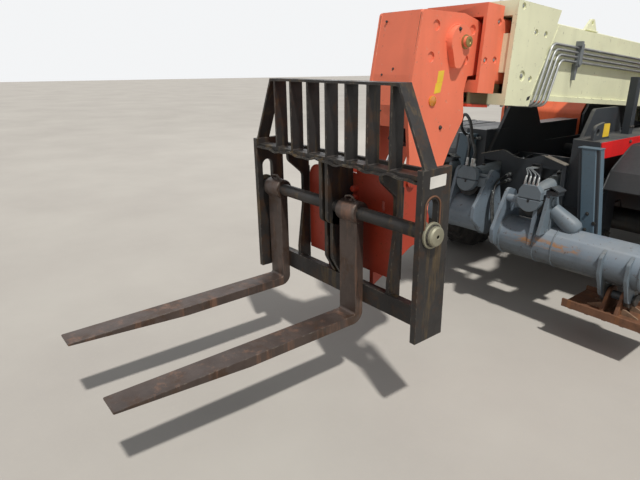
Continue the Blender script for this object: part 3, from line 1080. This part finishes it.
def fender_details():
    edges, bolts = Shape(), Shape()
    profile = grouped((-633, 338, -565, 446, -302, 593.5, 302, 593.5, 565, 446, 633, 338), 2)
    for side, y in CORNERS.values():
        # The rounded edges, and two ribs between them.
        for x, lift, corner, radius, steps in ((507, 0, 50, 7, 8), (1178, 0, 50, 7, 8), (730.7, 1, 30, 4, 6),
                                               (954.4, 1, 30, 4, 6)):
            edges.tube(bent([(side * x, y + u, WHEEL_RADIUS + v + lift) for u, v in profile], corner), radius, steps)
        for u in (-210, 210):
            for x in (600, 1100):
                bolts.bolt((side * x, y + u, WHEEL_RADIUS + 593), UP, 9)
    edges.piece("fender_edges", "chassis", "fender", "fender")
    bolts.piece("fender_bolts", "chassis", "zinc", "rod")


def rear_details():
    pin, bolts, eyes = Shape(), Shape(), Shape()
    pin.lathe((0, 3660, 582), UP, (0, 14, 6, 18.2, 168, 18.2, 170, 30, 180, 30, 184, 24, 184, 0), 28)
    pin.tube([(x, 3660, z) for x, z in around(26, 28, middle=(0, 790))], 5.5, 8, closed=True)
    pin.piece("hitch_pin", "chassis", "zinc", "rod")
    for x in (-400, -280, 280, 400):
        for z in (680, 1000):
            bolts.lathe((x, 3714, z), (0, 1, 0), (0, 34, 5, 34, 6, 30), 28)
            bolts.bolt((x, 3719, z), (0, 1, 0), 17)
    for side in SIDES:
        for y in (3500, 3600):
            bolts.bolt((side * 600, y, 1119), UP, 12)
        low, high = side * 550, side * 660
        eyes.tube(bent((low, 3660, 1115, low, 3660, 1165, high, 3660, 1165, high, 3660, 1115), 30), 10, 10)
    bolts.piece("weight_bolts", "chassis", "iron", "rod", 0.5)
    eyes.piece("weight_eyes", "chassis", "weight", "weight", 0.5)
    plate = Shape().prism("Y", pane(-260, 900, 260, 1000, 10), 3714.5, 3717)
    plate.piece("blank_plate", "chassis", "white_plate", "weight", 0.5)


def engine_details():
    """Cover, filters, pulleys and pipes, which show when the hood is up."""
    low, high = (Vector(corner) * 1000 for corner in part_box("engine_block"))
    x, y, top = (low.x + high.x) / 2, (low.y + high.y) / 2, high.z
    cover, filters, pulleys, pipe = (Shape() for _ in range(4))
    cover.prism("Y", rounded((x - 100, top - 10, x + 100, top - 10, x + 85, top + 60, x - 85, top + 60),
                             [0, 0, 30, 30]), y - 380, y + 380)
    for n in range(9):
        cover.block((x - 75, x + 75), (y - 340 + n * 80, y - 325 + n * 80), (top + 58, top + 66))
    cover.lathe((x, y + 300, top + 55), UP, (0, 30, 22, 30, 26, 24, 26, 0), 20)
    cover.piece("engine_cover", "chassis", "engine", "engine", 3)
    for at in (y - 250, y - 100):
        filters.lathe((low.x - 55, at, top - 300), UP, (0, 40, 6, 48, 140, 48, 150, 40), 28)
        filters.block((low.x - 60, low.x + 4), (at - 30, at + 30), (top - 155, top - 125))
    filters.piece("engine_filters", "chassis", "grey_plastic", "engine", 1)
    for dx, dz, r in ((0, -360, 100), (100, -120, 55), (-120, -150, 50)):
        pulleys.lathe((x + dx, low.y - 1, top + dz), (0, -1, 0),
                      (0, r * 0.5, 20, r * 0.5, 22, r, 30, r, 34, r * 0.85, 38, r, 46, r, 46, 0), 32)
    pulleys.piece("engine_pulleys", "chassis", "iron", "engine")
    pipe.tube(bent((x + 160, y + 200, top - 30, x + 160, y + 200, top + 80, x + 160, y - 150, top + 90,
                    x + 130, y - 300, top + 20), 50), 22, 14)
    for n in range(4):
        at = y - 280 + n * 180
        pipe.tube(bent((x - 80, at, top + 20, x - 140, at, top + 20, x - 160, at, top - 60,
                        x - 160, y - 200 + n * 120, top - 100), 20), 4, 8)
    pipe.piece("engine_pipes", "chassis", "zinc", "engine")


# Seat and controls.

def cushion(name, shape, channels):
    """A padded form: blown up a little by a pressure simulation, then seams are pressed in along channels, which
    name an axis, a place along it and a depth."""
    made = shape.object(name, "cloth")

    def settle():
        graph = bpy.context.evaluated_depsgraph_get()
        fresh = bpy.data.meshes.new_from_object(made.evaluated_get(graph))
        made.modifiers.clear()
        made.data = fresh

    remesh = made.modifiers.new("remesh", "REMESH")
    remesh.mode, remesh.voxel_size = "VOXEL", 0.008
    settle()
    scene, last, most = bpy.context.scene, 20, 0.010
    start = [v.co.copy() for v in made.data.vertices]
    cloth = made.modifiers.new("cloth", "CLOTH")
    cloth.settings.quality = 4
    cloth.settings.mass = 0.3
    cloth.settings.use_pressure = True
    cloth.settings.uniform_pressure_force = 4
    cloth.settings.effector_weights.gravity = 0
    cloth.point_cache.frame_start, cloth.point_cache.frame_end = 1, last
    for n in range(1, last + 1):
        scene.frame_set(n)
        bpy.context.view_layer.update()
    graph = bpy.context.evaluated_depsgraph_get()
    blown = [v.co.copy() for v in made.evaluated_get(graph).data.vertices]
    made.modifiers.clear()
    scene.frame_set(1)
    for v, a, b in zip(made.data.vertices, start, blown):
        step = b - a
        v.co = a + (step.normalized() * most if step.length > most else step)
    smooth = made.modifiers.new("smooth", "SUBSURF")
    smooth.levels = smooth.render_levels = 1
    settle()
    mesh, reach = made.data, 0.014
    normals = [v.normal.copy() for v in mesh.vertices]
    for v, normal in zip(mesh.vertices, normals):
        for axis, at, deep in grouped(channels, 3):
            gap = abs(v.co[axis] - at / 1000)
            if gap < reach and abs(normal[axis]) < 0.5:
                v.co -= normal * deep / 1000 * (0.5 + 0.5 * math.cos(math.pi * gap / reach))
    mesh.shade_smooth()
    mesh.materials.clear()
    mesh.materials.append(M["cloth"])
    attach(made, "chassis")
    return made


def piping(name, pad, outline):
    """A sewn cord of trim along the pad's edge."""
    laid = []
    for p in loop(outline, 12):
        _, where, normal, _ = pad.closest_point_on_mesh(metres(p))
        laid.append(where * 1000 + normal)
    smooth = [(laid[i - 1] + laid[i] * 2 + laid[(i + 1) % len(laid)]) / 4 for i in range(len(laid))]
    Shape().tube(smooth, 3.2, 6, closed=True).piece(name, "chassis", "seal", "seat")


def seat_details():
    x = CAB_MIDDLE
    base = Shape().prism("Z", pane(x - 236, 1384, x + 236, 1846, 70), 980, 1076)
    pad = cushion("seat_cushion", base, (0, x - 130, 6, 0, x + 130, 6, 1, 1500, 5, 1, 1620, 5, 1, 1740, 5))
    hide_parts("seat")
    piping("seat_piping", pad, (x - 250, 1370, 1062, x + 250, 1370, 1062, x + 250, 1860, 1062, x - 250, 1860, 1062))
    back = Shape().prism("Y", rounded((x - 226, 1098, x + 226, 1098, x + 190, 1628, x - 190, 1628),
                                      [50, 50, 90, 90]), 1782, 1878)
    rest = cushion("seat_backrest", back, (0, x - 120, 6, 0, x + 120, 6, 2, 1250, 5, 2, 1380, 5, 2, 1510, 5))
    piping("backrest_piping", rest, (x - 240, 1790, 1090, x + 240, 1790, 1090, x + 200, 1790, 1640,
                                     x - 200, 1790, 1640))
    fittings, belt, bellows = Shape(), Shape(), Shape()
    for side in SIDES:
        fittings.prism("X", rounded((1760, 990, 1900, 990, 1895, 1200, 1855, 1200, 1840, 1050, 1760, 1030), 10),
                       x + side * 242, x + side * 247)
        fittings.tube(bent((x + side * 262, 1850, 1280, x + side * 262, 1550, 1290), 10), 20, 12)
        fittings.block((x + side * 225, x + side * 262), (1835, 1865), (1270, 1300))
    fittings.tube(bent((x - 50, 1400, 975, x - 50, 1355, 965, x + 50, 1355, 965, x + 50, 1400, 975), 20), 6, 8)
    fittings.piece("seat_fittings", "chassis", "plastic", "seat", 1)
    belt.prism("Y", (x - 243, 985, x - 239, 985, x - 235, 1095, x - 240, 1095), 1740, 1785)
    belt.block((x + 236, x + 252), (1735, 1765), (990, 1100))
    belt.piece("seat_buckles", "chassis", "red", "seat", 1)
    # Bellows under the seat.
    for n in range(6):
        bellows.prism("Z", pane(x - 187, 1433, x + 187, 1827, 30), 800 + n * 28, 816 + n * 28)
    bellows.piece("seat_bellows", "chassis", "seal", "controls", 4)


def control_details():
    x = CAB_MIDDLE
    wheel, stick, pedals = Shape(), Shape(), Shape()
    wheel.tube([(*p, 1415) for p in around(174, 60, middle=(x, 1140))], 16.5, 12, closed=True)
    wheel.lathe((x, 1140, 1400), UP, (0, 50, 30, 50, 38, 40, 42, 20, 42, 0), 32)
    wheel.lathe((x + 100, 1285, 1430), UP, (0, 10, 20, 10, 24, 22, 50, 24, 60, 14, 62, 0), 20)
    wheel.tube((x, 1140, 1405, x, 1060, 1340), 34, 16)
    wheel.piece("steering_wheel", "chassis", "plastic", "controls")
    panel, dials, rims = (Shape(moved(x, 1000, 1335) @ Matrix.Rotation(math.radians(-28), 4, "X")) for _ in range(3))
    panel.prism("Z", pane(-170, -65, 170, 65, 30), -20, 12)
    panel.piece("instrument_panel", "chassis", "plastic", "controls", 3)
    for at, r in ((-90, 38), (0, 28), (80, 38)):
        dials.lathe((at, 0, 12), UP, (0, r, 2, r, 2, 0), 28)
        rims.lathe((at, 0, 11), UP, (0, r + 5, 7, r + 4, 8, r, 3, r - 1), 28)
    for n in range(6):
        rims.block((-150 + n * 55, -120 + n * 55), (-55, -43), (10, 18))
    dials.piece("dial_faces", "chassis", "white_plate", "controls")
    rims.piece("dial_rings", "chassis", "seal", "controls", 0.5)
    stick.lathe((428, 1370, 1157), UP, (0, 42, 6, 42, 14, 34, 22, 36, 30, 26, 38, 28, 48, 16, 85, 10), 24)
    stick.lathe((428, 1372, 1235), (0, 0.12, 1), (0, 14, 20, 22, 60, 20, 90, 26, 104, 18, 106, 0), 20)
    for y in (1500, 1560, 1620):
        stick.block((405, 451), (y, y + 30), (1156, 1172))
    stick.prism("X", pane(1660, 1155, 1930, 1205, 20), 385, 470)
    stick.piece("joystick", "chassis", "plastic", "controls", 2)
    for at, wide in ((700, 50), (860, 35)):
        pedals.prism("X", rounded((1090, 700, 1105, 695, 1070, 820, 1055, 815), 5), at - wide, at + wide)
        pedals.tube((at, 1075, 765, at, 985, 900), 8, 8)
        for n in range(5):
            pedals.block((at - wide, at + wide), (1098.5 - n * 6, 1102.5 - n * 6), (710 + n * 20, 716 + n * 20))
    pedals.piece("pedals", "chassis", "iron", "controls", 1)
    Shape().prism("Z", pane(490, 1030, 1120, 2100, 30), 639.5, 645).piece("floor_mat", "chassis", "seal", "controls")


def cylinder_details():
    """Gland rings, ports and a bright pipe on the barrels. Each runs from its own pin along to the rod's eye."""
    def turned(matrix, point):
        return matrix @ metres(point) * 1000
    jack = math.hypot(650, 120) - 191
    lift, tilt = turned(BOOM, (0, 1365, 1085)), turned(TOOL, (0, -2110, 1075))
    table = [("lift_barrel", "lift_barrel", Vector((0, 2600, 520)), lift, 175, 85),
             ("tilt_barrel", "tilt_barrel", Vector((0, *TILT_PIN)), tilt, 200, 52)]
    for side in LEGS:
        pin = turned(LEGS[side], (225, -1035, 810))
        table.append((f"jack_{side}", f"jack_barrel_{side}", pin, Vector((pin.x, -385, 930)), None, 58))
    for name, body, start, eye, out_by, radius in table:
        along = (eye - start).normalized()
        length = (eye - start).length - out_by if out_by else jack
        fit = Shape().lathe(start + along * (length - 30), along,
                            (0, radius + 1, 2, radius + 4, 22, radius + 4, 26, radius + 1), 36)
        out = along.cross(Vector((1, 0, 0))).normalized()
        out = -out if out.z < 0 else out
        ends = [start + along * at for at in (length * 0.25, length - 70)]
        for at in ends:
            fit.lathe(at + out * (radius - 4), out, (0, 14, 14, 14, 16, 10), 6)
        fit.piece(f"{name}_gland", body, "iron", "barrel_paint")
        if name == "lift_barrel":
            near, far = out * radius, out * (radius + 20)
            pipe = Shape().tube(bent([ends[0] + near, ends[0] + far, ends[1] + far, ends[1] + near], 12), 6, 8)
            pipe.piece(f"{name}_pipe", body, "zinc", "rod")


axle_details()
cab_details()
lamp_details()
hood_details()
fender_details()
rear_details()
engine_details()
seat_details()
control_details()
cylinder_details()


# Floor and light.

def add_floor():
    mesh = bpy.data.meshes.new("floor")
    mesh.from_pydata([(-60, -60, 0), (60, -60, 0), (60, 60, 0), (-60, 60, 0)], [], [(0, 1, 2, 3)])
    f = Finish("pale_concrete", Roughness=0.9)
    tone = f.mix(f.ramp(f.noise(0.6, 6), 0.3, 0.7), srgb("ABA6A0"), srgb("B7B3AC"))
    f.set("Base Color", f.mix(f.math("MULTIPLY", f.ramp(f.noise(45, 6), 0.55, 0.7), 0.25), tone, srgb("B8B2A6")))
    mesh.materials.append(f.bump(f.noise(90, 6), 0.15, 0.002).material)
    placed("floor", mesh)


def add_light(name, kind, energy, size, at, aim, colour=(1, 1, 1)):
    """A sun, whose size is its angle, or a square area lamp."""
    data = bpy.data.lights.new(name, kind)
    data.energy, data.color = energy, colour
    setattr(data, "angle" if kind == "SUN" else "size", size)
    lamp = placed(name, data)
    lamp.location = at
    lamp.rotation_euler = (aim - at).to_track_quat("-Z", "Y").to_euler()


def add_world():
    """Even fill light, with a pale backdrop for the camera, reflections and glass."""
    world = bpy.data.worlds.new("studio")
    bpy.context.scene.world = world
    world.use_nodes = True
    tree = world.node_tree
    fill = tree.nodes["Background"]
    fill.inputs["Color"].default_value, fill.inputs["Strength"].default_value = (0.93, 0.96, 1.0, 1), 0.35
    backdrop = tree.nodes.new("ShaderNodeBackground")
    backdrop.inputs["Color"].default_value, backdrop.inputs["Strength"].default_value = (0.90, 0.91, 0.92, 1), 1.0
    rays = tree.nodes.new("ShaderNodeLightPath")
    seen = rays.outputs["Is Camera Ray"]
    for ray in ("Is Glossy Ray", "Is Transmission Ray"):
        either = tree.nodes.new("ShaderNodeMath")
        either.operation = "MAXIMUM"
        tree.links.new(seen, either.inputs[0])
        tree.links.new(rays.outputs[ray], either.inputs[1])
        seen = either.outputs[0]
    mixed = tree.nodes.new("ShaderNodeMixShader")
    for n, socket in enumerate((seen, fill.outputs[0], backdrop.outputs[0])):
        tree.links.new(socket, mixed.inputs[n])
    tree.links.new(mixed.outputs[0], tree.nodes["World Output"].inputs["Surface"])


add_floor()
add_world()
# The photograph's sun stands at 59 degrees in front of the machine's left side.
aim = Vector((0, 0, 0.8))
sun_way = Vector((0.93, -0.37, 1.66)).normalized()
add_light("key", "SUN", 3.2, 0.05, aim + sun_way * 12, aim, (1.0, 0.97, 0.92))
add_light("side_fill", "AREA", 150, 7.0, aim + Vector((-6, 6, 5)), aim)
bpy.context.scene.view_settings.view_transform = "Standard"
